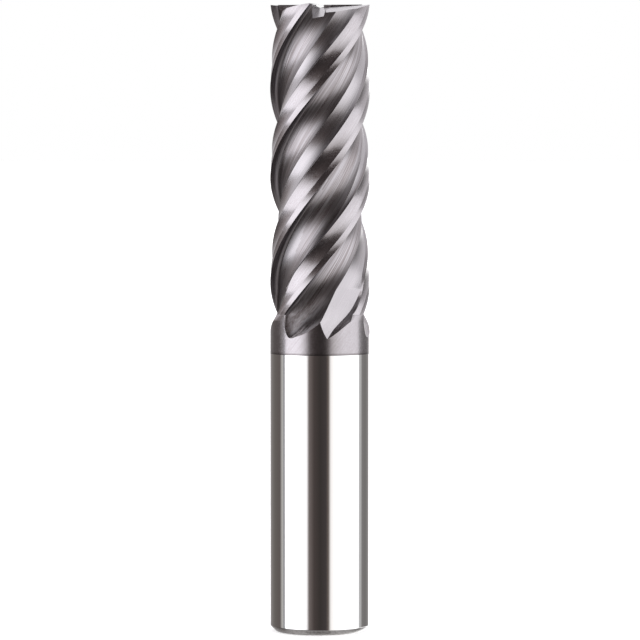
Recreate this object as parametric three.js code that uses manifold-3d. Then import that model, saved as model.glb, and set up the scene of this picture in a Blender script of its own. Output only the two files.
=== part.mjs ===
// Four-flute carbide end mill, 20 mm, with unequal tooth spacing and two helix angles.
// Millimetres. The tool stands on its shank: the origin is the centre of the shank's end face
// and +Z runs up the axis to the cutting end.
import * as THREE from 'three';
import { mergeVertices } from 'three/addons/utils/BufferGeometryUtils.js';
import Module from 'manifold-3d';

// Overall sizes
const CUTTING_DIAMETER = 20;
const SHANK_DIAMETER = 20;
const OVERALL_LENGTH = 126;
const SHANK_LENGTH = 56;
const SHANK_CHAMFER = 1.1;
const FLUTE_LENGTH = 62;
const RUN_OUT_LENGTH = 4.8;

// Teeth
const TOOTH_COUNT = 4;
const FIRST_TOOTH_ANGLE = -6.5;
const NARROW_TOOTH_PITCH = 85.5;
const HELIX_ANGLES = [41, 39];
const PRIMARY_RELIEF_ANGLE = 9;
const PRIMARY_RELIEF_WIDTH = 1.47;
const SECONDARY_RELIEF_ANGLE = 22.3;
const SECONDARY_RELIEF_WIDTH = 3.4;

// Flute section
const CORE_RADIUS = 7.7;
const RAKE_ANGLE = 8;
const HOOK_RADIUS = 0.9;
const FLOOR_RADIUS = 29;
const FLOOR_ANGLE = 20.5;
const HEEL_WALL_ANGLE = 3;
const HEEL_WALL_FOOT_RADIUS = 9.1;
const BACK_ANGLE = 23;

// Run-out, where the flutes climb to the surface of the neck
const LIFT_LEAD = 1.9;
const LIFT_EASE = 3;
const LIFT_SLOPE = 0.25;
const LIFT_DIRECTION = 37;
const LIFT_RADIUS = 9;
const LIFT_GROWTH = [[0.2, 2], [0.18, 10]];
const SQUEEZED_ANGLE = 37.5;
const BACK_TURN_LEAD = 5.2;
const BACK_LIFT_LEAD = 2;
const BACK_LIFT = 0.019;
const RELIEF_RUN_OUT = 1.2;
const HEEL_WALL_SPREAD = 8.5;
const HEEL_SPREAD_EXPONENT = 2.5;
const HEEL_CUT_BACK = 11;
const HEEL_CUT_START_LEAD = 9.2;
const HEEL_CUT_MIDDLE_LEAD = 1.2;
const HEEL_CUT_END_LAG = 3.5;

// Cutting end
const DISH_ANGLE = 3.5;
const END_PRIMARY_ANGLE = 8;
const END_PRIMARY_WIDTH = 3.6;
const END_SECONDARY_ANGLE = 12;
const END_RELIEF_SECTOR = 75;
const GASH_ANGLE = 17;
const GASH_FLOOR_ANGLE = 8;
const GASH_WIDTH = 2.2;
const GASH_STARTS = [2.2, -0.2];

// Size of the solids that cut the end teeth
const CUTTER_REACH = 14;
const CUTTER_HEIGHT = 8;

// Facets
const SHANK_SIDES = 64;
const HEAD_RINGS = 58;
const NECK_RINGS = 16;
const COLUMNS = { secondary: 3, primary: 4, floor: 9, gap: 4, back: 2, wall: 1 };
const WELD = 0.002;
const SAME_POINT = 1e-6;
const LEAST_COSINE = 0.1;
const HALVINGS = 40;

const radians = THREE.MathUtils.degToRad;
const clamp = THREE.MathUtils.clamp;
const lerp = THREE.MathUtils.lerp;
const radius = CUTTING_DIAMETER / 2;
const fluteEnd = OVERALL_LENGTH - FLUTE_LENGTH;
const runOutEnd = fluteEnd - RUN_OUT_LENGTH;
const backTurnEnd = fluteEnd + BACK_TURN_LEAD;
const heelCutStart = fluteEnd + HEEL_CUT_START_LEAD;
const heelCutMiddle = fluteEnd + HEEL_CUT_MIDDLE_LEAD;
const heelCutEnd = fluteEnd - HEEL_CUT_END_LAG;
const centreHeight = OVERALL_LENGTH - radius * Math.tan(radians(DISH_ANGLE));

// A point of a cross-section: its distance from the axis and its angle about it.
const polar = (r, angle) => ({ r, angle });
const polarOf = (x, y) => polar(Math.hypot(x, y), Math.atan2(y, x));

// The same angle between -pi and pi.
const wrapped = (angle) => THREE.MathUtils.euclideanModulo(angle + Math.PI, 2 * Math.PI) - Math.PI;

// Land behind a cutting edge: two flat relief facets, in the frame where the edge is at angle 0.
function landCorners() {
  const first = radians(PRIMARY_RELIEF_ANGLE);
  const second = radians(SECONDARY_RELIEF_ANGLE);
  const x = radius - PRIMARY_RELIEF_WIDTH * Math.sin(first);
  const y = -PRIMARY_RELIEF_WIDTH * Math.cos(first);
  const heelX = x - SECONDARY_RELIEF_WIDTH * Math.sin(second);
  const heelY = y - SECONDARY_RELIEF_WIDTH * Math.cos(second);
  return { line: polarOf(x, y), heel: polarOf(heelX, heelY) };
}

// Rake face, hook and floor as one curve in the same frame. u runs 0-1 down the straight rake
// face, 1-2 round the hook and from 2 on along the floor, a shallow arc that is deepest at
// FLOOR_ANGLE, where u is 2.5. The hook is tangent to both its neighbours.
function makeFloorCurve() {
  const rake = radians(RAKE_ANGLE);
  const inward = new THREE.Vector2(-Math.cos(rake), -Math.sin(rake));
  const ahead = new THREE.Vector2(-Math.sin(rake), Math.cos(rake));
  const centre = new THREE.Vector2(CORE_RADIUS + FLOOR_RADIUS, 0)
    .rotateAround(new THREE.Vector2(), radians(FLOOR_ANGLE));
  const start = new THREE.Vector2(radius, 0).addScaledVector(ahead, HOOK_RADIUS).sub(centre);
  const along = -start.dot(inward);
  const apart = start.lengthSq() - (FLOOR_RADIUS - HOOK_RADIUS) ** 2;
  const rakeLength = along + Math.sqrt(along ** 2 - apart);
  const foot = new THREE.Vector2(radius, 0).addScaledVector(inward, rakeLength);
  const hookCentre = foot.clone().addScaledVector(ahead, HOOK_RADIUS);
  const hookFrom = 1.5 * Math.PI + rake;
  const floorFrom = hookCentre.clone().sub(centre).angle();
  const halfFloor = radians(FLOOR_ANGLE) + Math.PI - floorFrom;
  const hookTurn = wrapped(floorFrom - hookFrom);
  const onArc = (middle, size, angle) => new THREE.Vector2(size, 0)
    .rotateAround(new THREE.Vector2(), angle)
    .add(middle);
  return (u) => {
    let point = onArc(centre, FLOOR_RADIUS, floorFrom + 2 * halfFloor * (u - 2));
    if (u < 1) {
      point = new THREE.Vector2(radius, 0).lerp(foot, u);
    } else if (u < 2) {
      point = onArc(hookCentre, HOOK_RADIUS, hookFrom + hookTurn * (u - 1));
    }
    return polarOf(point.x, point.y);
  };
}

const LAND = landCorners();
const floorCurve = makeFloorCurve();
const DEEPEST_U = 2.5;
const LAST_U = 3.5;

// The value of u between low and high where test(u) turns from false to true.
function whereTrue(low, high, test) {
  for (let step = 0; step < HALVINGS; step += 1) {
    const middle = (low + high) / 2;
    if (test(middle)) {
      high = middle;
    } else {
      low = middle;
    }
  }
  return high;
}

// Angle of tooth i's cutting edge at height z. The twist stops with the run-outs.
function edgeAngle(i, z) {
  const turns = Math.floor(i / 2) * Math.PI;
  const atTip = radians(FIRST_TOOTH_ANGLE + (i % 2) * NARROW_TOOTH_PITCH) + turns;
  const depth = OVERALL_LENGTH - Math.max(z, runOutEnd);
  return atTip - (depth * Math.tan(radians(HELIX_ANGLES[i % 2]))) / radius;
}

// How far below the end of the cutting edges z is: 0 at fluteEnd, 1 at runOutEnd.
const runOut = (z) => clamp((fluteEnd - z) / RUN_OUT_LENGTH, 0, 1);

// How far the land has faded into the neck's round surface: 0 on a full land, 1 on the neck.
const reliefFade = (z) => clamp((fluteEnd - z) / RELIEF_RUN_OUT, 0, 1);

// How far the grinding wheel has risen out of the flute at height z. ahead is the angle from
// the tooth's helix; the wheel climbs along its own slanting direction.
function lift(ahead, z) {
  const direction = radians(LIFT_DIRECTION);
  const across = LIFT_RADIUS * (ahead - radians(FLOOR_ANGLE)) * Math.sin(direction);
  const along = (fluteEnd + LIFT_LEAD - z) / Math.cos(direction) - across;
  const eased = Math.max(along + LIFT_EASE, 0) ** 2 / (4 * LIFT_EASE);
  let growth = 1;
  for (const [share, exponent] of LIFT_GROWTH) {
    growth += share * runOut(z) ** exponent;
  }
  return LIFT_SLOPE * (along < LIFT_EASE ? eased : along) * growth;
}

// Point u of tooth i's flute at height z, lifted by the wheel in the run-out. Below the end of
// the cutting edge the side next to the edge stops twisting, so the flute narrows there.
function groundFlute(i, u, z) {
  const point = floorCurve(u);
  const turned = edgeAngle(i, Math.max(z, fluteEnd)) - edgeAngle(i, z);
  const squeezed = clamp(1 - point.angle / radians(SQUEEZED_ANGLE), 0, 1);
  const ahead = point.angle + turned * squeezed;
  return polar(point.r + lift(ahead, z), edgeAngle(i, z) + ahead);
}

// Angle that the wall at a tooth's heel takes up.
function wallAngle(z) {
  const fade = reliefFade(z);
  if (fade < 1) return radians(lerp(HEEL_WALL_ANGLE, HEEL_WALL_SPREAD, fade));
  const fall = clamp((z - runOutEnd) / (fluteEnd - RELIEF_RUN_OUT - runOutEnd), 0, 1);
  return radians(HEEL_WALL_SPREAD * (1 - (1 - fall) ** HEEL_SPREAD_EXPONENT));
}

// Angle of the foot of the wall at tooth i's heel where only the helix carries it.
const helicalFoot = (i, z) => edgeAngle(i, z) + LAND.heel.angle - radians(HEEL_WALL_ANGLE);

// Angle of the foot of the wall at tooth i's heel, which is cut back a little above the neck.
function footAngle(i, z) {
  const rising = (z - heelCutEnd) / (heelCutMiddle - heelCutEnd);
  const falling = (heelCutStart - z) / (heelCutStart - heelCutMiddle);
  const share = clamp(Math.min(rising, falling), 0, 1);
  return helicalFoot(i, z) + radians(HEEL_CUT_BACK) * Math.sin((Math.PI / 2) * share) ** 2;
}

function heelPoint(i, z) {
  return polar(lerp(LAND.heel.r, radius, reliefFade(z)), footAngle(i, z) + wallAngle(z));
}

// The flat back facet beside tooth i's heel: the direction it faces and its distance from the
// axis. It stops turning with the helix and draws away from the axis towards its end.
function backFacet(i, z) {
  const facing = helicalFoot(i, Math.max(z, backTurnEnd)) - radians(BACK_ANGLE);
  const climbed = BACK_LIFT * Math.max(fluteEnd + BACK_LIFT_LEAD - z, 0) ** 2;
  return { facing, distance: HEEL_WALL_FOOT_RADIUS * Math.cos(radians(BACK_ANGLE)) + climbed };
}

// n points from a towards b, without b. A flat stretch follows the straight line between them;
// any other keeps to a curve whose distance from the axis changes evenly with the angle.
function between(a, b, n, flat) {
  const points = [];
  const span = b.angle - a.angle;
  for (let k = 0; k < n; k += 1) {
    const t = k / n;
    if (flat) {
      const x = lerp(a.r, b.r * Math.cos(span), t);
      const y = b.r * Math.sin(span) * t;
      const point = polarOf(x, y);
      points.push(polar(point.r, point.angle + a.angle));
    } else {
      points.push(polar(lerp(a.r, b.r, t), a.angle + span * t));
    }
  }
  return points;
}

// The floor of tooth i's flute at height z. It ends where it meets the neck's surface, the back
// facet or the foot of the next tooth's wall.
function floorPoints(i, z, backRadius, foot) {
  const ground = (u) => groundFlute(i, u, z);
  const startU = ground(0).r <= radius ? 0
    : whereTrue(0, DEEPEST_U, (u) => ground(u).r <= radius);
  const endU = whereTrue(DEEPEST_U, LAST_U, (u) => {
    const point = ground(u);
    return point.r >= Math.min(backRadius(point.angle), radius) || point.angle >= foot;
  });
  return Array.from({ length: COLUMNS.floor + 1 }, (_, k) => {
    const point = ground(lerp(startU, endU, k / COLUMNS.floor));
    return polar(Math.min(point.r, radius), point.angle);
  });
}

// Tooth i's land and the flute in front of it at height z, from its heel to the next heel.
function toothSection(i, z) {
  const flat = z >= fluteEnd;
  const next = (i + 1) % TOOTH_COUNT;
  const wrap = next === 0 ? 2 * Math.PI : 0;
  const foot = footAngle(next, z) + wrap;
  const back = backFacet(next, z);
  const facing = back.facing + wrap;
  const backRadius = (angle) => back.distance / Math.max(Math.cos(angle - facing), LEAST_COSINE);
  const floor = floorPoints(i, z, backRadius, foot);
  const floorEnd = floor.pop();
  const opening = facing - Math.acos(Math.min(back.distance / radius, 1));
  const shoulder = polar(floorEnd.r, Math.min(Math.max(floorEnd.angle, opening), foot));
  const backStart = polar(shoulder.r, shoulder.angle);
  const footPoint = polar(Math.min(backRadius(foot), radius), foot);
  if (shoulder.angle < foot - SAME_POINT) {
    backStart.r = Math.min(backRadius(shoulder.angle), radius);
  } else {
    footPoint.r = Math.max(footPoint.r, shoulder.r);
  }
  const nextHeel = heelPoint(next, z);
  nextHeel.angle += wrap;
  const line = polar(lerp(LAND.line.r, radius, reliefFade(z)), edgeAngle(i, z) + LAND.line.angle);
  return [
    ...between(heelPoint(i, z), line, COLUMNS.secondary, flat),
    ...between(line, floor[0], COLUMNS.primary, flat),
    ...floor,
    ...between(floorEnd, shoulder, COLUMNS.gap, false),
    shoulder,
    ...between(backStart, footPoint, COLUMNS.back, true),
    ...between(footPoint, nextHeel, COLUMNS.wall, flat),
  ];
}

// The whole cross-section at height z, as points in space.
function section(z) {
  const points = [];
  for (let i = 0; i < TOOTH_COUNT; i += 1) {
    points.push(...toothSection(i, z));
  }
  return points.map(({ r, angle }) => new THREE.Vector3(r * Math.cos(angle), r * Math.sin(angle), z));
}

// Triangles that close a ring of points, counter-clockwise as the ring is.
function cap(ring) {
  const outline = ring.filter((point, k) => {
    const last = ring[(k + ring.length - 1) % ring.length];
    return point.distanceTo(last) > WELD;
  });
  return THREE.ShapeUtils.triangulateShape(outline, [])
    .map((face) => face.map((k) => outline[k]));
}

// A closed body through the cross-sections at the given heights, lowest first.
function sweep(heights) {
  const rings = heights.map(section);
  const triangles = [];
  for (let j = 0; j + 1 < rings.length; j += 1) {
    const low = rings[j];
    const high = rings[j + 1];
    for (let k = 0; k < low.length; k += 1) {
      const after = (k + 1) % low.length;
      triangles.push([low[k], low[after], high[after]]);
      triangles.push([low[k], high[after], high[k]]);
    }
  }
  triangles.push(...cap(rings[0]).map((face) => face.reverse()));
  triangles.push(...cap(rings[rings.length - 1]));
  const geometry = new THREE.BufferGeometry().setFromPoints(triangles.flat());
  return withoutSlivers(mergeVertices(geometry, WELD));
}

// The same indexed geometry without the triangles whose corners have become one.
function withoutSlivers(geometry) {
  const index = [];
  const old = geometry.index.array;
  for (let k = 0; k < old.length; k += 3) {
    const [a, b, c] = [old[k], old[k + 1], old[k + 2]];
    if (a !== b && b !== c && c !== a) index.push(a, b, c);
  }
  return geometry.setIndex(index);
}

const wasm = await Module();
wasm.setup();

function solidOf(geometry) {
  const bare = geometry.index ? geometry.toNonIndexed() : geometry.clone();
  bare.deleteAttribute('normal');
  bare.deleteAttribute('uv');
  const merged = mergeVertices(bare, WELD);
  return new wasm.Manifold(new wasm.Mesh({
    numProp: 3,
    vertProperties: merged.attributes.position.array,
    triVerts: new Uint32Array(merged.index.array),
  }));
}

function geometryOf(solid) {
  const mesh = solid.getMesh();
  const geometry = new THREE.BufferGeometry()
    .setAttribute('position', new THREE.BufferAttribute(mesh.vertProperties, 3))
    .setIndex(new THREE.BufferAttribute(mesh.triVerts, 1));
  const flat = geometry.toNonIndexed();
  flat.computeVertexNormals();
  return flat;
}

// A prism along tooth i's end edge. Its outline is drawn in (ahead of the edge, up), it starts
// at the given distance from the axis and its long edges climb outwards at the given angle.
function endPrism(i, outline, from, climb) {
  const shape = new THREE.Shape(outline.map(([ahead, up]) => new THREE.Vector2(ahead, up)));
  const length = CUTTER_REACH - from;
  const geometry = new THREE.ExtrudeGeometry(shape, { depth: length, bevelEnabled: false });
  const angle = edgeAngle(i, OVERALL_LENGTH);
  const along = new THREE.Vector3(Math.cos(angle), Math.sin(angle), Math.tan(radians(climb)));
  const ahead = new THREE.Vector3(-Math.sin(angle), Math.cos(angle), 0);
  const start = along.clone().multiplyScalar(from);
  start.z += centreHeight;
  const place = new THREE.Matrix4().makeBasis(ahead, new THREE.Vector3(0, 0, 1), along);
  return solidOf(geometry.applyMatrix4(place.setPosition(start)));
}

// The space above tooth i's end: primary and secondary relief behind its dished end edge.
function endRelief(i) {
  const first = END_PRIMARY_WIDTH * Math.tan(radians(END_PRIMARY_ANGLE));
  const second = (CUTTER_REACH - END_PRIMARY_WIDTH) * Math.tan(radians(END_SECONDARY_ANGLE));
  const prism = endPrism(i, [
    [0, 0],
    [0, CUTTER_HEIGHT],
    [-CUTTER_REACH, CUTTER_HEIGHT],
    [-CUTTER_REACH, -first - second],
    [-END_PRIMARY_WIDTH, -first],
  ], 0, DISH_ANGLE);
  const edge = edgeAngle(i, OVERALL_LENGTH);
  const sector = new THREE.Shape();
  const back = edge - radians(END_RELIEF_SECTOR);
  const reach = 2 * CUTTER_REACH;
  sector.moveTo(0, 0);
  sector.lineTo(reach * Math.cos(back), reach * Math.sin(back));
  sector.lineTo(reach * Math.cos(edge), reach * Math.sin(edge));
  const block = new THREE.ExtrudeGeometry(sector, { depth: 2 * CUTTER_HEIGHT, bevelEnabled: false });
  block.translate(0, 0, OVERALL_LENGTH - CUTTER_HEIGHT);
  return prism.intersect(solidOf(block));
}

// The notch ground ahead of tooth i's end edge, sloping down from the centre to the flute.
function gash(i) {
  const floorRise = GASH_WIDTH * Math.tan(radians(GASH_FLOOR_ANGLE));
  return endPrism(i, [
    [0, 0],
    [GASH_WIDTH, floorRise],
    [GASH_WIDTH * 2, CUTTER_HEIGHT],
    [0, CUTTER_HEIGHT],
  ], GASH_STARTS[i % 2], -GASH_ANGLE);
}

function makeMesh(name, geometry, look) {
  const mesh = new THREE.Mesh(geometry, new THREE.MeshStandardMaterial(look));
  mesh.name = name;
  return mesh;
}

const BRIGHT_CARBIDE = { color: 0xd4d3d1, roughness: 0.15, metalness: 1 };
const COATED_CARBIDE = { color: 0x7b7073, roughness: 0.3, metalness: 1 };

function makeShank() {
  const shankRadius = SHANK_DIAMETER / 2;
  const profile = [
    [0, 0],
    [shankRadius - SHANK_CHAMFER, 0],
    [shankRadius, SHANK_CHAMFER],
    [shankRadius, SHANK_LENGTH],
    [0, SHANK_LENGTH],
  ].map(([x, y]) => new THREE.Vector2(x, y));
  const geometry = new THREE.LatheGeometry(profile, SHANK_SIDES);
  geometry.rotateX(Math.PI / 2);
  return makeMesh('shank', geometry, BRIGHT_CARBIDE);
}

// Heights from low to high in equal steps, both ends included.
function steps(low, high, count) {
  return Array.from({ length: count + 1 }, (_, k) => lerp(low, high, k / count));
}

function makeNeck() {
  const heights = [SHANK_LENGTH, ...steps(runOutEnd, fluteEnd, NECK_RINGS)];
  return makeMesh('neck', sweep(heights), COATED_CARBIDE);
}

function makeCuttingHead() {
  let head = solidOf(sweep(steps(fluteEnd, OVERALL_LENGTH, HEAD_RINGS)));
  for (let i = 0; i < TOOTH_COUNT; i += 1) {
    head = head.subtract(endRelief(i)).subtract(gash(i));
  }
  return makeMesh('cutting_head', geometryOf(head), COATED_CARBIDE);
}

const endMill = new THREE.Group();
endMill.add(makeShank(), makeNeck(), makeCuttingHead());

export default endMill;
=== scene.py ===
"""Looks for the four-flute carbide end mill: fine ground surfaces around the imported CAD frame.

Shapes are worked out in millimetres and written to Blender in metres. The tool stands on its
shank, +Z runs up its axis to the cutting end and the camera looks along +Y.
"""
import math

import bmesh
import bpy
import numpy as np
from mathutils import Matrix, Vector


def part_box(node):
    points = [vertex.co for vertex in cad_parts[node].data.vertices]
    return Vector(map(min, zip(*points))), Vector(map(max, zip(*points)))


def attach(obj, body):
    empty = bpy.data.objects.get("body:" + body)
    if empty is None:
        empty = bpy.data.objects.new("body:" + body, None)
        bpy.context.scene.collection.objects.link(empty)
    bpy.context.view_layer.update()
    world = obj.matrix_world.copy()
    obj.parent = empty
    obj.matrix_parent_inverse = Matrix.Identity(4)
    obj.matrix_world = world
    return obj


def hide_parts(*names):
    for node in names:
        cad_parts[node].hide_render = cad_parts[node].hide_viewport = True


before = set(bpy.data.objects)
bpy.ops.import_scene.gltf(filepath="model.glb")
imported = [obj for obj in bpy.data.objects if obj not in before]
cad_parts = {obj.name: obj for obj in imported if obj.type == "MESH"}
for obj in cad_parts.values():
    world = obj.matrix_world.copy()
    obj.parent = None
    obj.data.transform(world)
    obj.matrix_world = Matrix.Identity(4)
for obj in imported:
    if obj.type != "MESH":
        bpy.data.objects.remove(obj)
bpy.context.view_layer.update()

# ---------------------------------------------------------------- sizes, in millimetres
MM = 0.001
shank_low, shank_high = (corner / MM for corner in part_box("shank"))
head_low, head_high = (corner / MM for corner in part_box("cutting_head"))
RADIUS = shank_high.x
SHANK_TOP = shank_high.z
FLUTE_END = head_low.z
TIP = head_high.z

SHANK_CHAMFER = 1.1
CHAMFER_EDGE = 0.06
SHADED_BAND = 0.18
RUN_OUT_LENGTH = 4.8
RUN_OUT_END = FLUTE_END - RUN_OUT_LENGTH

TOOTH_COUNT = 4
FIRST_TOOTH_ANGLE = -6.5
NARROW_TOOTH_PITCH = 85.5
HELIX_ANGLES = (41.0, 39.0)
PRIMARY_RELIEF_ANGLE = 9.0
PRIMARY_RELIEF_WIDTH = 1.47
SECONDARY_RELIEF_ANGLE = 22.3
SECONDARY_RELIEF_WIDTH = 3.4

CORE_RADIUS = 7.7
RAKE_ANGLE = 8.0
HOOK_RADIUS = 0.9
FLOOR_RADIUS = 29.0
FLOOR_ANGLE = 20.5
HEEL_WALL_ANGLE = 3.0
HEEL_WALL_FOOT_RADIUS = 9.1
BACK_ANGLE = 23.0

LIFT_START = FLUTE_END + 1.9
LIFT_EASE = 3.0
LIFT_SLOPE = 0.25
LIFT_DIRECTION = 37.0
LIFT_RADIUS = 9.0
LIFT_GROWTH = ((0.2, 2), (0.18, 10))
SQUEEZED_ANGLE = 37.5
BACK_TURN_END = FLUTE_END + 5.2
BACK_LIFT_START = FLUTE_END + 2.0
BACK_LIFT = 0.019
RELIEF_RUN_OUT = 1.2
HEEL_WALL_SPREAD = 8.5
HEEL_SPREAD_EXPONENT = 2.5
HEEL_CUT_BACK = 11.0
HEEL_CUT_START = FLUTE_END + 9.2
HEEL_CUT_MIDDLE = FLUTE_END + 1.2
HEEL_CUT_END = FLUTE_END - 3.5

DISH_ANGLE = 3.5
END_PRIMARY_ANGLE = 8.0
END_PRIMARY_WIDTH = 3.6
END_SECONDARY_ANGLE = 12.0
END_RELIEF_SECTOR = 75.0
GASH_ANGLE = 17.0
GASH_FLOOR_ANGLE = 8.0
GASH_WIDTH = 2.2
GASH_STARTS = (2.2, -0.2)
CUTTER_REACH = 14.0
CUTTER_HEIGHT = 8.0

HEAD_RINGS = 300
NECK_RINGS = 80
COLUMNS = {"secondary": 8, "primary": 12, "floor": 60, "gap": 40, "back": 12, "wall": 4}
SHANK_SIDES = 256
WELD = 0.002
SAME_POINT = 1e-6
HALVINGS = 40
LEAST_COSINE = 0.1

# Edges sharper than these angles, in degrees, stay sharp in the shading.
CREASE_ANGLE = 12.0
SHANK_CREASE_ANGLE = 30.0

# What tells the finishes apart: radii, shares of a face's normal and angles in degrees.
LAND_RADIUS = 9.45
NECK_RADIUS = 9.98
LAND_OUTWARD = 0.9
END_UPWARD = 0.5
BACK_REACH = 48.0
BACK_TOLERANCE = 3.0

# ---------------------------------------------------------------- stage
# In metres; the lens and the sensor are in millimetres.
FLOOR_REACH = 30.0
CAMERA_DISTANCE = 0.752
CAMERA_HEIGHT = 0.0968
AIM_HEIGHT = 0.0627
CAMERA_REACH = 50.0
CAMERA_LENS = 210.3
SENSOR_WIDTH = 36.0

# ---------------------------------------------------------------- cross-section
# A point of the section is its distance from the axis and its angle about it. Angles are in
# degrees in the constants and in radians in the functions.


def rad(degrees):
    return math.radians(degrees)


def to_polar(x, y):
    return np.hypot(x, y), np.arctan2(y, x)


def land_corners():
    """Primary/secondary line and heel behind a cutting edge that lies at angle 0."""
    first, second = rad(PRIMARY_RELIEF_ANGLE), rad(SECONDARY_RELIEF_ANGLE)
    x = RADIUS - PRIMARY_RELIEF_WIDTH * math.sin(first)
    y = -PRIMARY_RELIEF_WIDTH * math.cos(first)
    heel_x = x - SECONDARY_RELIEF_WIDTH * math.sin(second)
    heel_y = y - SECONDARY_RELIEF_WIDTH * math.cos(second)
    return to_polar(x, y), to_polar(heel_x, heel_y)


def make_floor_curve():
    """Rake face (u 0-1), hook (1-2) and arc floor (2 on), for a cutting edge at angle 0."""
    rake, middle = rad(RAKE_ANGLE), rad(FLOOR_ANGLE)
    centre_r = CORE_RADIUS + FLOOR_RADIUS
    centre_x, centre_y = centre_r * math.cos(middle), centre_r * math.sin(middle)
    start_x = RADIUS - HOOK_RADIUS * math.sin(rake) - centre_x
    start_y = HOOK_RADIUS * math.cos(rake) - centre_y
    along = start_x * math.cos(rake) + start_y * math.sin(rake)
    apart = start_x ** 2 + start_y ** 2 - (FLOOR_RADIUS - HOOK_RADIUS) ** 2
    rake_length = along + math.sqrt(along ** 2 - apart)
    foot_x = RADIUS - rake_length * math.cos(rake)
    foot_y = -rake_length * math.sin(rake)
    hook_x = foot_x - HOOK_RADIUS * math.sin(rake)
    hook_y = foot_y + HOOK_RADIUS * math.cos(rake)
    hook_from = 1.5 * math.pi + rake
    floor_from = math.atan2(hook_y - centre_y, hook_x - centre_x)
    floor_from += 2 * math.pi if floor_from < 0 else 0
    turns = middle + math.pi - floor_from
    hook_turn = (floor_from - hook_from + math.pi) % (2 * math.pi) - math.pi

    def curve(u):
        hook = hook_from + hook_turn * (u - 1)
        floor = floor_from + turns * 2 * (u - 2)
        x = np.where(u < 1, RADIUS + (foot_x - RADIUS) * u, np.where(
            u < 2, hook_x + HOOK_RADIUS * np.cos(hook), centre_x + FLOOR_RADIUS * np.cos(floor)))
        y = np.where(u < 1, foot_y * u, np.where(
            u < 2, hook_y + HOOK_RADIUS * np.sin(hook), centre_y + FLOOR_RADIUS * np.sin(floor)))
        return to_polar(x, y)

    return curve


(LINE_R, LINE_ANGLE), (HEEL_R, HEEL_ANGLE) = land_corners()
floor_curve = make_floor_curve()
DEEPEST_U = 2.5
LAST_U = 3.5


def where_true(low, high, test):
    """For each height, the u between low and high where test turns from false to true."""
    for _ in range(HALVINGS):
        middle = (low + high) / 2
        found = test(middle)
        high = np.where(found, middle, high)
        low = np.where(found, low, middle)
    return high


def edge_angle(i, z):
    """Where tooth i's cutting edge stands at height z; the twist stops with the run-outs."""
    z = np.maximum(z, RUN_OUT_END)
    at_tip = rad(FIRST_TOOTH_ANGLE + (i % 2) * NARROW_TOOTH_PITCH) + (i // 2) * math.pi
    return at_tip - (TIP - z) * math.tan(rad(HELIX_ANGLES[i % 2])) / RADIUS


def run_out(z):
    """0 at the end of the cutting edges, 1 where the flutes have run out."""
    return np.clip((FLUTE_END - z) / RUN_OUT_LENGTH, 0, 1)


def ground_flute(i, u, z):
    """Point u of tooth i's flute at height z, lifted by the grinding wheel in the run-out."""
    r, ahead = floor_curve(u)
    turned = edge_angle(i, np.maximum(z, FLUTE_END)) - edge_angle(i, z)
    ahead = ahead + turned * np.clip(1 - ahead / rad(SQUEEZED_ANGLE), 0, 1)
    direction = rad(LIFT_DIRECTION)
    across = LIFT_RADIUS * (ahead - rad(FLOOR_ANGLE)) * math.sin(direction)
    along = (LIFT_START - z) / math.cos(direction) - across
    eased = np.clip(along + LIFT_EASE, 0, None) ** 2 / (4 * LIFT_EASE)
    growth = 1 + sum(share * run_out(z) ** exponent for share, exponent in LIFT_GROWTH)
    lifted = LIFT_SLOPE * np.where(along < LIFT_EASE, eased, along) * growth
    return r + lifted, edge_angle(i, z) + ahead


def relief_fade(z):
    """0 on a full land, 1 where the land has faded into the neck's round surface."""
    return np.clip((FLUTE_END - z) / RELIEF_RUN_OUT, 0, 1)


def wall_angle(z):
    """Angle that the wall at a tooth's heel takes up; it closes at the end of the run-out."""
    fade = relief_fade(z)
    spread = HEEL_WALL_ANGLE + (HEEL_WALL_SPREAD - HEEL_WALL_ANGLE) * fade
    height = FLUTE_END - RELIEF_RUN_OUT - RUN_OUT_END
    fall = np.clip((z - RUN_OUT_END) / height, 0, 1)
    closing = HEEL_WALL_SPREAD * (1 - (1 - fall) ** HEEL_SPREAD_EXPONENT)
    return np.radians(np.where(fade < 1, spread, closing))


def helical_foot(i, z):
    """Foot of the wall at tooth i's heel where only the helix carries it."""
    return edge_angle(i, z) + HEEL_ANGLE - rad(HEEL_WALL_ANGLE)


def foot_angle(i, z):
    """Foot of the wall at tooth i's heel, which is cut back a little above the neck."""
    rising = (z - HEEL_CUT_END) / (HEEL_CUT_MIDDLE - HEEL_CUT_END)
    falling = (HEEL_CUT_START - z) / (HEEL_CUT_START - HEEL_CUT_MIDDLE)
    share = np.clip(np.minimum(rising, falling), 0, 1)
    return helical_foot(i, z) + rad(HEEL_CUT_BACK) * np.sin(math.pi / 2 * share) ** 2


def heel_point(i, z):
    r = HEEL_R + (RADIUS - HEEL_R) * relief_fade(z)
    return r, foot_angle(i, z) + wall_angle(z)


def back_facing(i, z):
    """Direction that the flat back facet beside tooth i's heel faces at height z."""
    return helical_foot(i, np.maximum(z, BACK_TURN_END)) - rad(BACK_ANGLE)


def back_distance(z):
    """The back facet's distance from the axis, which grows towards its end in the neck."""
    climbed = BACK_LIFT * np.clip(BACK_LIFT_START - z, 0, None) ** 2
    return HEEL_WALL_FOOT_RADIUS * math.cos(rad(BACK_ANGLE)) + climbed


def straight(a, b, n):
    """n columns from a towards b on the straight line between them."""
    columns = []
    span = b[1] - a[1]
    for k in range(n):
        t = k / n
        r, angle = to_polar(a[0] * (1 - t) + b[0] * np.cos(span) * t, b[0] * np.sin(span) * t)
        columns.append((r, a[1] + angle))
    return columns


def between(a, b, n, z):
    """n columns from a towards b: straight, but bent around the axis in the run-out."""
    flat = z >= FLUTE_END
    columns = []
    for k, (r, angle) in enumerate(straight(a, b, n)):
        t = k / n
        bent_r = a[0] * (1 - t) + b[0] * t
        bent_angle = a[1] + (b[1] - a[1]) * t
        columns.append((np.where(flat, r, bent_r), np.where(flat, angle, bent_angle)))
    return columns


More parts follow.
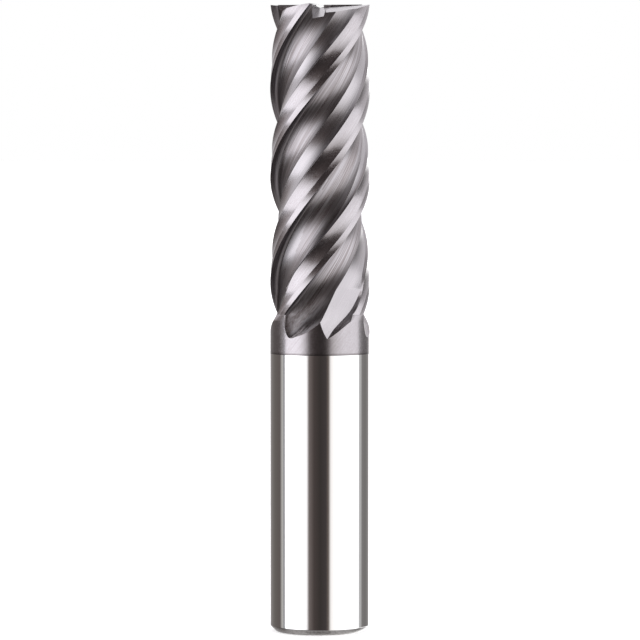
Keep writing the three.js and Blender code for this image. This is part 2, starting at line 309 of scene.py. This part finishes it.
def tooth_columns(i, z):
    """Tooth i's land and the flute ahead of it, heel to next heel, at all heights z."""
    after = (i + 1) % TOOTH_COUNT
    wrap = 2 * math.pi if after == 0 else 0.0
    foot = foot_angle(after, z) + wrap
    facing = back_facing(after, z) + wrap
    nothing, deepest, last = (np.full_like(z, u) for u in (0.0, DEEPEST_U, LAST_U))
    always_bent = np.full_like(z, -math.inf)

    def back_radius(angle):
        return back_distance(z) / np.maximum(np.cos(angle - facing), LEAST_COSINE)

    def emerges(u):
        return ground_flute(i, u, z)[0] <= RADIUS

    def ends(u):
        r, angle = ground_flute(i, u, z)
        return (r >= np.minimum(back_radius(angle), RADIUS)) | (angle >= foot)

    start_u = np.where(emerges(nothing), nothing, where_true(nothing, deepest, emerges))
    end_u = where_true(deepest, last, ends)
    floor = []
    for k in range(COLUMNS["floor"] + 1):
        r, angle = ground_flute(i, start_u + (end_u - start_u) * k / COLUMNS["floor"], z)
        floor.append((np.minimum(r, RADIUS), angle))
    floor_end = floor.pop()
    opening = facing - np.arccos(np.minimum(back_distance(z) / RADIUS, 1))
    shoulder = (floor_end[0], np.minimum(np.maximum(floor_end[1], opening), foot))
    has_back = shoulder[1] < foot - SAME_POINT
    back_r = np.where(has_back, np.minimum(back_radius(shoulder[1]), RADIUS), shoulder[0])
    foot_r = np.minimum(back_radius(foot), RADIUS)
    foot_point = (np.where(has_back, foot_r, np.maximum(foot_r, shoulder[0])), foot)
    next_r, next_angle = heel_point(after, z)
    line = (LINE_R + (RADIUS - LINE_R) * relief_fade(z), edge_angle(i, z) + LINE_ANGLE)
    return [
        *between(heel_point(i, z), line, COLUMNS["secondary"], z),
        *between(line, floor[0], COLUMNS["primary"], z),
        *floor,
        *between(floor_end, shoulder, COLUMNS["gap"], always_bent),
        shoulder,
        *straight((back_r, shoulder[1]), foot_point, COLUMNS["back"]),
        *between(foot_point, (next_r, next_angle + wrap), COLUMNS["wall"], z),
    ]


def swept_mesh(name, heights):
    """A closed mesh through the cross-sections at the given heights, lowest first."""
    z = np.array(heights)
    columns = []
    for i in range(TOOTH_COUNT):
        columns += tooth_columns(i, z)
    r = np.stack([c[0] for c in columns], axis=1)
    angle = np.stack([c[1] for c in columns], axis=1)
    rings, count = r.shape
    heights_of_all = np.repeat(z[:, None], count, 1)
    points = np.stack([r * np.cos(angle), r * np.sin(angle), heights_of_all], axis=2)
    low = np.arange(rings - 1)[:, None] * count
    high = low + count
    here = np.arange(count)
    after = (here + 1) % count
    quads = np.stack([low + here, low + after, high + after, high + here], axis=2)
    faces = quads.reshape(-1, 4).tolist()
    faces.append(list(range(count - 1, -1, -1)))
    faces.append(list(range((rings - 1) * count, rings * count)))
    rough = bpy.data.meshes.new(name)
    rough.from_pydata((points.reshape(-1, 3) * MM).tolist(), [], faces)
    bm = bmesh.new()
    bm.from_mesh(rough)
    bpy.data.meshes.remove(rough)
    bmesh.ops.remove_doubles(bm, verts=bm.verts, dist=WELD * MM)
    bmesh.ops.dissolve_degenerate(bm, edges=bm.edges, dist=WELD * MM)
    mesh = bpy.data.meshes.new(name)
    bm.to_mesh(mesh)
    bm.free()
    return mesh


def add_object(name, mesh):
    obj = bpy.data.objects.new(name, mesh)
    bpy.context.scene.collection.objects.link(obj)
    return obj


# ---------------------------------------------------------------- end teeth


def prism(outline, corner, ends):
    """A closed prism: each outline point (a, b) lies at corner(a, b, along) for both ends."""
    bm = bmesh.new()
    near, far = ([bm.verts.new(corner(a, b, along) * MM) for a, b in outline] for along in ends)
    bm.faces.new(near)
    bm.faces.new(list(reversed(far)))
    for k in range(len(outline)):
        after = (k + 1) % len(outline)
        bm.faces.new((near[k], far[k], far[after], near[after]))
    bmesh.ops.recalc_face_normals(bm, faces=bm.faces)
    mesh = bpy.data.meshes.new("cutter")
    bm.to_mesh(mesh)
    bm.free()
    return add_object("cutter", mesh)


def boolean(target, tool, operation):
    """Cut the target's mesh with the tool, which is used up."""
    modifier = target.modifiers.new("cut", "BOOLEAN")
    modifier.operation = operation
    modifier.solver = "MANIFOLD"
    modifier.object = tool
    bpy.context.view_layer.update()
    evaluated = target.evaluated_get(bpy.context.evaluated_depsgraph_get())
    mesh = bpy.data.meshes.new_from_object(evaluated)
    target.modifiers.clear()
    old, target.data = target.data, mesh
    bpy.data.meshes.remove(old)
    bpy.data.objects.remove(tool)


def end_corner(i, climb):
    """Places points by their distance ahead of tooth i's end edge, up, and along the edge."""
    angle = edge_angle(i, TIP)
    centre_height = TIP - RADIUS * math.tan(rad(DISH_ANGLE))
    outward = Vector((math.cos(angle), math.sin(angle), math.tan(rad(climb))))
    ahead = Vector((-math.sin(angle), math.cos(angle), 0))
    centre = Vector((0, 0, centre_height))
    up = Vector((0, 0, 1))
    return lambda a, b, along: centre + outward * along + ahead * a + up * b


def end_relief(i):
    """The space above tooth i's end: primary and secondary relief behind its dished edge."""
    first = END_PRIMARY_WIDTH * math.tan(rad(END_PRIMARY_ANGLE))
    second = (CUTTER_REACH - END_PRIMARY_WIDTH) * math.tan(rad(END_SECONDARY_ANGLE))
    outline = [(0, 0), (0, CUTTER_HEIGHT), (-CUTTER_REACH, CUTTER_HEIGHT),
               (-CUTTER_REACH, -first - second), (-END_PRIMARY_WIDTH, -first)]
    relief = prism(outline, end_corner(i, DISH_ANGLE), (0, CUTTER_REACH))
    edge = edge_angle(i, TIP)
    back = edge - rad(END_RELIEF_SECTOR)
    reach = 2 * CUTTER_REACH
    sector = [(0, 0), (reach * math.cos(back), reach * math.sin(back)),
              (reach * math.cos(edge), reach * math.sin(edge))]
    block = prism(sector, lambda a, b, along: Vector((a, b, along)),
                  (TIP - CUTTER_HEIGHT, TIP + CUTTER_HEIGHT))
    boolean(relief, block, "INTERSECT")
    return relief


def gash(i):
    """The notch ahead of tooth i's end edge, sloping down from the centre to the flute."""
    rise = GASH_WIDTH * math.tan(rad(GASH_FLOOR_ANGLE))
    outline = [(0, 0), (GASH_WIDTH, rise), (GASH_WIDTH * 2, CUTTER_HEIGHT), (0, CUTTER_HEIGHT)]
    return prism(outline, end_corner(i, -GASH_ANGLE), (GASH_STARTS[i % 2], CUTTER_REACH))


# ---------------------------------------------------------------- pieces

FLUTE, LAND, END, BACK = range(4)


def on_back_facets(centres, normals):
    """True for the faces of the flat facets that run beside the heels."""
    angle = np.arctan2(centres[:, 1], centres[:, 0])
    facing = np.arctan2(normals[:, 1], normals[:, 0])
    found = np.zeros(len(centres), dtype=bool)
    for i in range(TOOTH_COUNT):
        behind = (foot_angle(i, centres[:, 2]) - angle) % (2 * math.pi)
        off = (facing - back_facing(i, centres[:, 2]) + math.pi) % (2 * math.pi) - math.pi
        found |= (behind < rad(BACK_REACH)) & (np.abs(off) < rad(BACK_TOLERANCE))
    return found


def sort_faces(mesh):
    """Give each face its finish: flute, land or other outer surface, end, or back facet."""
    count = len(mesh.polygons)
    centres, normals = np.empty(count * 3), np.empty(count * 3)
    mesh.polygons.foreach_get("center", centres)
    mesh.polygons.foreach_get("normal", normals)
    centres, normals = centres.reshape(-1, 3) / MM, normals.reshape(-1, 3)
    r = np.hypot(centres[:, 0], centres[:, 1])
    outward = (normals[:, :2] * centres[:, :2]).sum(axis=1) / np.maximum(r, SAME_POINT)
    finish = np.full(count, FLUTE, dtype=np.int32)
    least = np.where(centres[:, 2] > FLUTE_END - RELIEF_RUN_OUT, LAND_RADIUS, NECK_RADIUS)
    finish[(r > least) & (outward > LAND_OUTWARD)] = LAND
    finish[on_back_facets(centres, normals)] = BACK
    finish[(centres[:, 2] > TIP - CUTTER_HEIGHT) & (normals[:, 2] > END_UPWARD)] = END
    mesh.polygons.foreach_set("material_index", finish)


def sort_shank_faces(mesh):
    """The end face and the chamfer take the coarser finish."""
    for face in mesh.polygons:
        face.material_index = int(face.center.z < (SHANK_CHAMFER - CHAMFER_EDGE) * MM)


def finish_piece(piece, materials, sort, crease):
    """Give a piece its materials, sort its faces among them and shade it smooth."""
    piece.data.materials.clear()
    for material in materials:
        piece.data.materials.append(material)
    sort(piece.data)
    piece.data.shade_smooth()
    piece.data.set_sharp_from_angle(angle=rad(crease))


def make_head():
    heights = np.linspace(FLUTE_END, TIP, HEAD_RINGS + 1)
    head = add_object("fluted_head", swept_mesh("fluted_head", heights))
    for i in range(TOOTH_COUNT):
        boolean(head, end_relief(i), "DIFFERENCE")
        boolean(head, gash(i), "DIFFERENCE")
    return head


def make_neck():
    heights = [SHANK_TOP, *np.linspace(RUN_OUT_END, FLUTE_END, NECK_RINGS + 1)]
    return add_object("coated_neck", swept_mesh("coated_neck", heights))


def make_shank():
    """The ground cylinder, with its end chamfer and the eased edges beside it.

    A narrow band above the chamfer keeps the shading of its edge off the long cylinder.
    """
    ease = CHAMFER_EDGE / math.sqrt(2)
    profile = [
        (RADIUS - SHANK_CHAMFER - CHAMFER_EDGE, 0),
        (RADIUS - SHANK_CHAMFER + ease, ease),
        (RADIUS - ease, SHANK_CHAMFER - ease),
        (RADIUS, SHANK_CHAMFER + CHAMFER_EDGE),
        (RADIUS, SHANK_CHAMFER + SHADED_BAND),
        (RADIUS, SHANK_TOP),
    ]
    bm = bmesh.new()
    turns = [2 * math.pi * k / SHANK_SIDES for k in range(SHANK_SIDES)]
    rings = []
    for r, z in profile:
        corners = [Vector((r * math.cos(turn), r * math.sin(turn), z)) for turn in turns]
        rings.append([bm.verts.new(corner * MM) for corner in corners])
    for low, high in zip(rings, rings[1:]):
        for k in range(SHANK_SIDES):
            after = (k + 1) % SHANK_SIDES
            bm.faces.new((low[k], low[after], high[after], high[k]))
    bm.faces.new(list(reversed(rings[0])))
    bm.faces.new(rings[-1])
    mesh = bpy.data.meshes.new("ground_shank")
    bm.to_mesh(mesh)
    bm.free()
    return add_object("ground_shank", mesh)


# ---------------------------------------------------------------- materials
# Grain and streak sizes are in millimetres, and so are the bumps.
COATING = (0.295, 0.280, 0.292)
COATING_DARK = (0.165, 0.147, 0.149)
BACK_DARK = (0.285, 0.27, 0.28)
LAND_DARK = (0.25, 0.232, 0.240)
RIM_COLOUR = (0.11, 0.10, 0.10)
RIM_HEIGHT = 0.55
CARBIDE = (0.61, 0.605, 0.60)
CHAMFER_DARK = (0.36, 0.35, 0.345)

FLUTE_ROUGHNESS = (0.25, 0.33)
BACK_ROUGHNESS = (0.24, 0.31)
LAND_ROUGHNESS = (0.16, 0.26)
END_ROUGHNESS = (0.30, 0.38)
SHANK_ROUGHNESS = (0.05, 0.09)
CHAMFER_ROUGHNESS = 0.28
ANISOTROPY = 0.5
ANISOTROPY_TURN = 0.25
FLUTE_BUMP = 0.009
LAND_BUMP = 0.005
END_BUMP = 0.004

# The part of a noise's range that is spread over the whole of what it drives.
NOISE_SPAN = (0.3, 0.7)
GRAIN_SPAN = (0.35, 0.65)
MIXED_SPAN = (0.6, 0.9)
BROAD_SHARE = 0.5

HELIX_TURN = math.tan(rad(sum(HELIX_ANGLES) / 2)) / (RADIUS * MM)


def feed(tree, socket, value):
    """Link an output to the socket, or set the socket to a plain value."""
    if isinstance(value, bpy.types.NodeSocket):
        tree.links.new(value, socket)
    else:
        socket.default_value = value


def node(tree, kind, inputs=(), **settings):
    made = tree.nodes.new(kind)
    for key, value in settings.items():
        setattr(made, key, value)
    for key, value in dict(inputs).items():
        feed(tree, made.inputs[key], value)
    return made


def calc(tree, operation, *values):
    made = node(tree, "ShaderNodeMath", enumerate(values), operation=operation)
    return made.outputs[0]


def spread(tree, value, old, new=(0, 1)):
    """The value carried over from the old range to the new one, and kept inside it."""
    return node(tree, "ShaderNodeMapRange", [
        ("Value", value), ("From Min", old[0]), ("From Max", old[1]),
        ("To Min", new[0]), ("To Max", new[1])]).outputs["Result"]


def mix_colours(tree, factor, first, second):
    """first where the factor is 0 and second where it is 1; both are colours or outputs."""
    mixed = node(tree, "ShaderNodeMix", [(0, factor)], data_type="RGBA")
    for key, colour in ((6, first), (7, second)):
        feed(tree, mixed.inputs[key], (*colour, 1) if isinstance(colour, tuple) else colour)
    return mixed.outputs[2]


def object_place(tree):
    return node(tree, "ShaderNodeTexCoord").outputs["Object"]


def helix_place(tree):
    """Object coordinates with the helix taken out, in which the flutes run straight up."""
    place = object_place(tree)
    z = node(tree, "ShaderNodeSeparateXYZ", [("Vector", place)]).outputs["Z"]
    angle = calc(tree, "MULTIPLY", z, -HELIX_TURN)
    turned = node(tree, "ShaderNodeVectorRotate", [("Vector", place), ("Angle", angle)],
                  rotation_type="Z_AXIS")
    return turned.outputs["Vector"]


def helix_tangent(tree):
    """Direction of the grinding marks on the flutes."""
    parts = node(tree, "ShaderNodeSeparateXYZ", [("Vector", object_place(tree))]).outputs
    x = calc(tree, "MULTIPLY", parts["Y"], -HELIX_TURN)
    y = calc(tree, "MULTIPLY", parts["X"], HELIX_TURN)
    along = node(tree, "ShaderNodeCombineXYZ", [("X", x), ("Y", y), ("Z", 1.0)]).outputs[0]
    return node(tree, "ShaderNodeVectorMath", [(0, along)], operation="NORMALIZE").outputs["Vector"]


def streaks(tree, place, width, length, detail=2.0, seed=0.0):
    """Noise whose grains are width across and length along Z of the given coordinates."""
    size = (1 / (width * MM), 1 / (width * MM), 1 / (length * MM))
    scaled = node(tree, "ShaderNodeVectorMath", [(0, place), (1, size)], operation="MULTIPLY")
    moved = node(tree, "ShaderNodeVectorMath", [(0, scaled.outputs[0]), (1, (seed, seed, seed))],
                 operation="ADD")
    noise = node(tree, "ShaderNodeTexNoise",
                 [("Vector", moved.outputs[0]), ("Scale", 1.0), ("Detail", detail)])
    return noise.outputs["Fac"]


def bump(tree, shader, height, depth):
    made = node(tree, "ShaderNodeBump", [("Height", height), ("Distance", depth * MM)])
    tree.links.new(made.outputs[0], shader.inputs["Normal"])


def new_material(name, colour):
    """A metal of the given colour, with its node tree and its shader."""
    material = bpy.data.materials.new(name)
    material.use_nodes = True
    tree = material.node_tree
    shader = tree.nodes["Principled BSDF"]
    shader.inputs["Metallic"].default_value = 1.0
    shader.inputs["Base Color"].default_value = (*colour, 1)
    return material, tree, shader


def flute_material(name, dark, roughness):
    """Coated surface with grinding marks that follow the flutes."""
    material, tree, shader = new_material(name, COATING)
    place = helix_place(tree)
    fine = streaks(tree, place, width=0.2, length=10)
    broad = streaks(tree, place, width=0.9, length=30, detail=1, seed=5.3)
    mixed = calc(tree, "MULTIPLY_ADD", broad, BROAD_SHARE, fine)
    colour = mix_colours(tree, spread(tree, mixed, MIXED_SPAN), dark, COATING)
    feed(tree, shader.inputs["Base Color"], colour)
    feed(tree, shader.inputs["Roughness"], spread(tree, broad, NOISE_SPAN, roughness))
    feed(tree, shader.inputs["Anisotropic"], ANISOTROPY)
    feed(tree, shader.inputs["Anisotropic Rotation"], ANISOTROPY_TURN)
    feed(tree, shader.inputs["Tangent"], helix_tangent(tree))
    bump(tree, shader, mixed, FLUTE_BUMP)
    return material


def land_material():
    """Smooth outer surfaces of the coating, with fine grain and a darker rim at the shank."""
    material, tree, shader = new_material("coated_ground_lands", COATING)
    place = helix_place(tree)
    lines = streaks(tree, place, width=0.3, length=6, seed=2.1)
    grain = streaks(tree, place, width=0.16, length=0.3, detail=3, seed=7.7)
    mixed = calc(tree, "MULTIPLY_ADD", lines, BROAD_SHARE, grain)
    feed(tree, shader.inputs["Roughness"], spread(tree, grain, GRAIN_SPAN, LAND_ROUGHNESS))
    coat = mix_colours(tree, spread(tree, mixed, MIXED_SPAN), LAND_DARK, COATING)
    height = node(tree, "ShaderNodeSeparateXYZ", [("Vector", object_place(tree))]).outputs["Z"]
    rim = spread(tree, height, (SHANK_TOP * MM, (SHANK_TOP + RIM_HEIGHT) * MM), (1, 0))
    feed(tree, shader.inputs["Base Color"], mix_colours(tree, rim, coat, RIM_COLOUR))
    bump(tree, shader, mixed, LAND_BUMP)
    return material


def end_material():
    """Coated end faces and gashes, with fine grain."""
    material, tree, shader = new_material("coated_ground_ends", COATING)
    grain = streaks(tree, object_place(tree), width=0.25, length=0.25, seed=3.9)
    feed(tree, shader.inputs["Roughness"], spread(tree, grain, NOISE_SPAN, END_ROUGHNESS))
    bump(tree, shader, grain, END_BUMP)
    return material


def shank_material():
    """Bright ground carbide; its gloss changes a little from one grinding line to the next."""
    material, tree, shader = new_material("ground_carbide", CARBIDE)
    rings = streaks(tree, object_place(tree), width=40, length=0.12)
    feed(tree, shader.inputs["Roughness"], spread(tree, rings, NOISE_SPAN, SHANK_ROUGHNESS))
    return material


def chamfer_material():
    """The end chamfer is ground more coarsely than the shank, so it glitters."""
    material, tree, shader = new_material("chamfered_carbide", CARBIDE)
    grain = streaks(tree, object_place(tree), width=0.35, length=0.35)
    colour = mix_colours(tree, spread(tree, grain, GRAIN_SPAN), CHAMFER_DARK, CARBIDE)
    feed(tree, shader.inputs["Base Color"], colour)
    feed(tree, shader.inputs["Roughness"], CHAMFER_ROUGHNESS)
    return material


# ---------------------------------------------------------------- studio
# The light around the tool, by direction. Azimuths are in degrees from the camera's side,
# positive to its right, and elevations in degrees above the horizon. Colours are brightnesses
# with white at 1, so a light panel is above 1 and dark cloth is near 0.
SOURCE_STRENGTH = 4.0

# Colour at each azimuth, as met just below the horizon. The first version of these stops was
# worked out from the colours of one row of pixels across the shank in the reference photograph,
# column by column, and then scaled and adjusted. They aren't a plain studio's.
LOW_STOPS = (
    (-180, (0.55, 0.53, 0.55)),
    (-160, (0.40, 0.38, 0.38)),
    (-147, (0.27, 0.25, 0.24)),
    (-129, (0.20, 0.18, 0.17)),
    (-106, (0.17, 0.145, 0.14)),
    (-101, (0.60, 0.58, 0.56)),
    (-97, (0.72, 0.71, 0.69)),
    (-93, (0.39, 0.39, 0.42)),
    (-90, (0.60, 0.60, 0.62)),
    (-87, (3.10, 3.10, 3.20)),
    (-50, (3.10, 3.10, 3.20)),
    (-42, (2.60, 2.60, 2.66)),
    (-31, (1.60, 1.58, 1.60)),
    (-26, (0.26, 0.22, 0.21)),
    (-14, (0.10, 0.080, 0.076)),
    (0, (0.062, 0.053, 0.050)),
    (14, (0.080, 0.068, 0.068)),
    (20, (0.22, 0.18, 0.16)),
    (25, (1.50, 1.46, 1.44)),
    (45, (2.10, 2.08, 2.10)),
    (60, (2.35, 2.35, 2.40)),
    (99, (2.35, 2.35, 2.40)),
    (105, (0.60, 0.60, 0.60)),
    (110, (0.72, 0.72, 0.72)),
    (115, (0.30, 0.29, 0.285)),
    (131, (0.26, 0.25, 0.245)),
    (148, (0.34, 0.33, 0.325)),
    (180, (4.00, 4.00, 4.00)),
)

# Colour at each azimuth, as met above the horizon. These stops and the elevations below started
# from a program's table of the photograph's brightness by reflected direction, then adjusted.
HIGH_STOPS = (
    (-180, (1.00, 0.97, 1.00)),
    (-150, (0.95, 0.91, 0.93)),
    (-136, (0.72, 0.65, 0.64)),
    (-112, (0.66, 0.58, 0.56)),
    (-97, (0.95, 0.88, 0.87)),
    (-91, (1.20, 1.18, 1.20)),
    (-88, (3.30, 3.30, 3.40)),
    (-52, (3.30, 3.30, 3.40)),
    (-46, (2.80, 2.80, 2.86)),
    (-37, (1.75, 1.73, 1.75)),
    (-31, (0.42, 0.36, 0.34)),
    (-16, (0.165, 0.132, 0.126)),
    (0, (0.095, 0.078, 0.074)),
    (18, (0.13, 0.106, 0.102)),
    (27, (0.22, 0.18, 0.16)),
    (32, (1.40, 1.37, 1.36)),
    (48, (2.30, 2.30, 2.32)),
    (60, (2.75, 2.75, 2.80)),
    (96, (2.60, 2.60, 2.65)),
    (106, (1.35, 1.32, 1.34)),
    (150, (1.20, 1.17, 1.20)),
    (180, (4.00, 4.00, 4.00)),
)

# Where the first colours give way to the second.
LOW_TO_HIGH = (-3, 7)

# Between which elevations the panels on each side stand, and what is above and below them.
LEFT_PANEL_ELEVATIONS = (-26, -10, 15, 31)
RIGHT_PANEL_ELEVATIONS = (-48, -16, 18, 36)
REAR_TURN = (112, 130)
DARK_CLOTH = (0.070, 0.058, 0.057)

# Lights overhead, high up at the rear, and from the table at the right rear.
OVERHEAD_LIGHT = (1.5, 1.48, 1.52)
OVERHEAD_ELEVATIONS = (38, 52)
OVERHEAD_AZIMUTHS = (-30, 10, 110, 150)
REAR_LIGHT_ELEVATIONS = (6, 13)
REAR_LIGHT_TURN = (86, 98)
TABLE_LIGHT = (1.8, 1.78, 1.82)
TABLE_ELEVATIONS = (-23, -17, -13, -9)
TABLE_AZIMUTHS = (96, 112)

# The floor around the tool and the shade at its foot.
FLOOR_LIGHT = (0.62, 0.60, 0.60)
FLOOR_ELEVATIONS = (-40, -54)
FOOT_SHADE = (0.20, 0.185, 0.18)
FOOT_ELEVATIONS = (-68, -80)

# The paper that the camera sees behind and under the tool.
WHITE = (1.0, 1.0, 1.0)
PAPER = (0.9, 0.9, 0.9)
FLOOR_GLOW = 0.45


def source(colour):
    """A brightness as the colour of a light source of SOURCE_STRENGTH."""
    return tuple(part / SOURCE_STRENGTH for part in colour)


def azimuth_ramp(tree, place, stops):
    """The colours of the stops; the place runs from 0 at -180 degrees to 1 at 180."""
    ramp = node(tree, "ShaderNodeValToRGB", [("Fac", place)])
    elements = ramp.color_ramp.elements
    elements.remove(elements[1])
    for k, (angle, colour) in enumerate(stops):
        element = elements[0] if k == 0 else elements.new((angle + 180) / 360)
        element.position = (angle + 180) / 360
        element.color = (*source(colour), 1)
    return ramp.outputs["Color"]


def window(tree, value, limits):
    """Rises from 0 to 1 between the first two limits, and falls again between the last two."""
    rise = spread(tree, value, limits[:2])
    if len(limits) == 2:
        return rise
    return calc(tree, "MULTIPLY", rise, spread(tree, value, limits[2:], (1, 0)))


def panels(tree, azimuth, elevation):
    """The light panels all round, with dark cloth above and below them."""
    place = spread(tree, azimuth, (-180, 180))
    around = mix_colours(tree, window(tree, elevation, LOW_TO_HIGH),
                         azimuth_ramp(tree, place, LOW_STOPS), azimuth_ramp(tree, place, HIGH_STOPS))
    left = window(tree, elevation, LEFT_PANEL_ELEVATIONS)
    right = window(tree, elevation, RIGHT_PANEL_ELEVATIONS)
    on_right = calc(tree, "GREATER_THAN", azimuth, 0.0)
    lit = node(tree, "ShaderNodeMix", [(0, on_right), (2, left), (3, right)]).outputs[0]
    rear = window(tree, calc(tree, "ABSOLUTE", azimuth), REAR_TURN)
    lit = calc(tree, "MAXIMUM", lit, rear)
    return mix_colours(tree, lit, source(DARK_CLOTH), around)


def lights_above(tree, azimuth, elevation):
    """How much of the overhead light lies in a direction, the rear one included."""
    above = calc(tree, "MULTIPLY", window(tree, elevation, OVERHEAD_ELEVATIONS),
                 window(tree, azimuth, OVERHEAD_AZIMUTHS))
    behind = calc(tree, "MULTIPLY", window(tree, elevation, REAR_LIGHT_ELEVATIONS),
                  window(tree, calc(tree, "ABSOLUTE", azimuth), REAR_LIGHT_TURN))
    return calc(tree, "MAXIMUM", above, behind)


def surroundings(tree):
    """The colour of the studio in every direction."""
    direction = node(tree, "ShaderNodeTexCoord").outputs["Generated"]
    x, y, z = node(tree, "ShaderNodeSeparateXYZ", [("Vector", direction)]).outputs
    turn = calc(tree, "ARCTAN2", x, calc(tree, "MULTIPLY", y, -1.0))
    azimuth = calc(tree, "MULTIPLY", turn, 180 / math.pi)
    elevation = calc(tree, "MULTIPLY", calc(tree, "ARCSINE", z), 180 / math.pi)
    table = calc(tree, "MULTIPLY", window(tree, elevation, TABLE_ELEVATIONS),
                 window(tree, azimuth, TABLE_AZIMUTHS))
    walls = mix_colours(tree, table, panels(tree, azimuth, elevation), source(TABLE_LIGHT))
    foot = mix_colours(tree, window(tree, elevation, FOOT_ELEVATIONS),
                       source(FLOOR_LIGHT), source(FOOT_SHADE))
    below = mix_colours(tree, window(tree, elevation, FLOOR_ELEVATIONS), walls, foot)
    return mix_colours(tree, lights_above(tree, azimuth, elevation), below, source(OVERHEAD_LIGHT))


def studio_world():
    """A studio that is seen only in reflections; the camera itself sees white paper."""
    world = bpy.data.worlds.new("studio")
    bpy.context.scene.world = world
    world.use_nodes = True
    tree = world.node_tree
    tree.nodes.clear()
    studio = node(tree, "ShaderNodeBackground",
                  [("Color", surroundings(tree)), ("Strength", SOURCE_STRENGTH)])
    paper = node(tree, "ShaderNodeBackground", [("Color", (*WHITE, 1)), ("Strength", 1.0)])
    seen = node(tree, "ShaderNodeLightPath").outputs["Is Camera Ray"]
    either = node(tree, "ShaderNodeMixShader", [
        (0, seen), (1, studio.outputs[0]), (2, paper.outputs[0])])
    node(tree, "ShaderNodeOutputWorld", [("Surface", either.outputs[0])])


def make_floor():
    """Pale seamless floor that glows a little; the tool's reflections leave it out."""
    mesh = bpy.data.meshes.new("floor")
    corners = [(-1, -1), (1, -1), (1, 1), (-1, 1)]
    points = [(FLOOR_REACH * x, FLOOR_REACH * y, 0) for x, y in corners]
    mesh.from_pydata(points, [], [(0, 1, 2, 3)])
    floor = add_object("floor", mesh)
    material, _, shader = new_material("floor_paper", PAPER)
    shader.inputs["Roughness"].default_value = 1.0
    shader.inputs["Metallic"].default_value = 0.0
    shader.inputs["Specular IOR Level"].default_value = 0.0
    shader.inputs["Emission Color"].default_value = (*WHITE, 1)
    shader.inputs["Emission Strength"].default_value = FLOOR_GLOW
    mesh.materials.append(material)
    floor.visible_glossy = False
    floor.visible_shadow = False


def make_camera():
    camera = bpy.data.cameras.new("camera")
    camera.sensor_width = SENSOR_WIDTH
    camera.lens = CAMERA_LENS
    camera.clip_end = CAMERA_REACH
    obj = bpy.data.objects.new("camera", camera)
    bpy.context.scene.collection.objects.link(obj)
    obj.location = (0, -CAMERA_DISTANCE, CAMERA_HEIGHT)
    aim = Vector((0, 0, AIM_HEIGHT)) - obj.location
    obj.rotation_mode = "QUATERNION"
    obj.rotation_quaternion = aim.to_track_quat("-Z", "Y")
    bpy.context.scene.camera = obj


bpy.context.scene.view_settings.view_transform = "Standard"
make_camera()
studio_world()
make_floor()

coated = [
    flute_material("coated_ground_flutes", COATING_DARK, FLUTE_ROUGHNESS),
    land_material(),
    end_material(),
    flute_material("coated_back_facets", BACK_DARK, BACK_ROUGHNESS),
]
head = make_head()
neck = make_neck()
shank = make_shank()
finish_piece(head, coated, sort_faces, CREASE_ANGLE)
finish_piece(neck, coated, sort_faces, CREASE_ANGLE)
finish_piece(shank, [shank_material(), chamfer_material()], sort_shank_faces, SHANK_CREASE_ANGLE)
for piece, node_name, slot in ((head, "cutting_head", "coated_flutes"),
                               (neck, "neck", "coated_neck"),
                               (shank, "shank", "ground_carbide")):
    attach(piece, "root")
    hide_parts(node_name)
